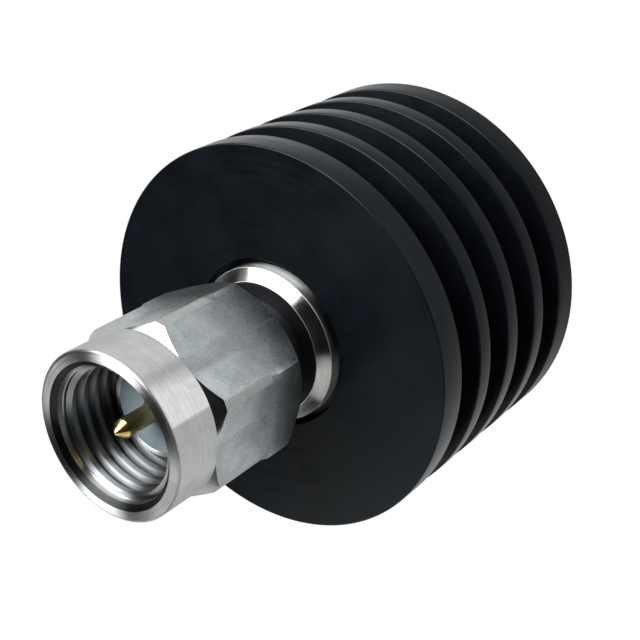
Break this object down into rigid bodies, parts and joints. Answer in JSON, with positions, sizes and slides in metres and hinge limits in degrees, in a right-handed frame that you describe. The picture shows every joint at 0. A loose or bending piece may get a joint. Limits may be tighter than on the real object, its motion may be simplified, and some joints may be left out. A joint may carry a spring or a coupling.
{
  "type": "coaxial termination",
  "caption": "Coaxial termination: black finned round heat sink with a threaded hexagon coupling nut and centre pin on its front end.",
  "frame": {"origin": "centre of the heat sink's flat rear face", "axes": "+Z along the connector's axis, from the heat sink towards the plug's mouth"},
  "size_m": [0.02, 0.02, 0.0241],
  "materials": {
    "black_anodised": "satin",
    "stainless": "turned",
    "spring_bronze": "satin",
    "silicone": "matte",
    "fluoropolymer": "matte",
    "gold_plate": "polished",
    "plated_brass": "satin",
    "brass_bare": "turned",
    "resistive_ceramic": "matte"
  },
  "bodies": {
    "load": {"heat_sink": "black_anodised", "connector_body": "stainless", "gasket": "silicone", "front_dielectric": "fluoropolymer", "centre_pin": "gold_plate", "front_terminal": "plated_brass", "resistor_rod": "resistive_ceramic", "ground_terminal": "plated_brass", "taper_sleeve": "brass_bare", "end_plug": "stainless"},
    "ring": {"retaining_ring": "spring_bronze"},
    "nut": {"coupling_nut": "stainless"}
  },
  "joints": [
    {"name": "nut_play", "type": "slide", "parent": "load", "child": "ring", "axis": [0, 0, 1], "range_m": [-0.00025, 0.00025]},
    {"name": "nut_turn", "type": "hinge", "parent": "ring", "child": "nut", "pos_m": [0, 0, 0.0173], "axis": [0, 0, 1], "continuous": true}
  ]
}
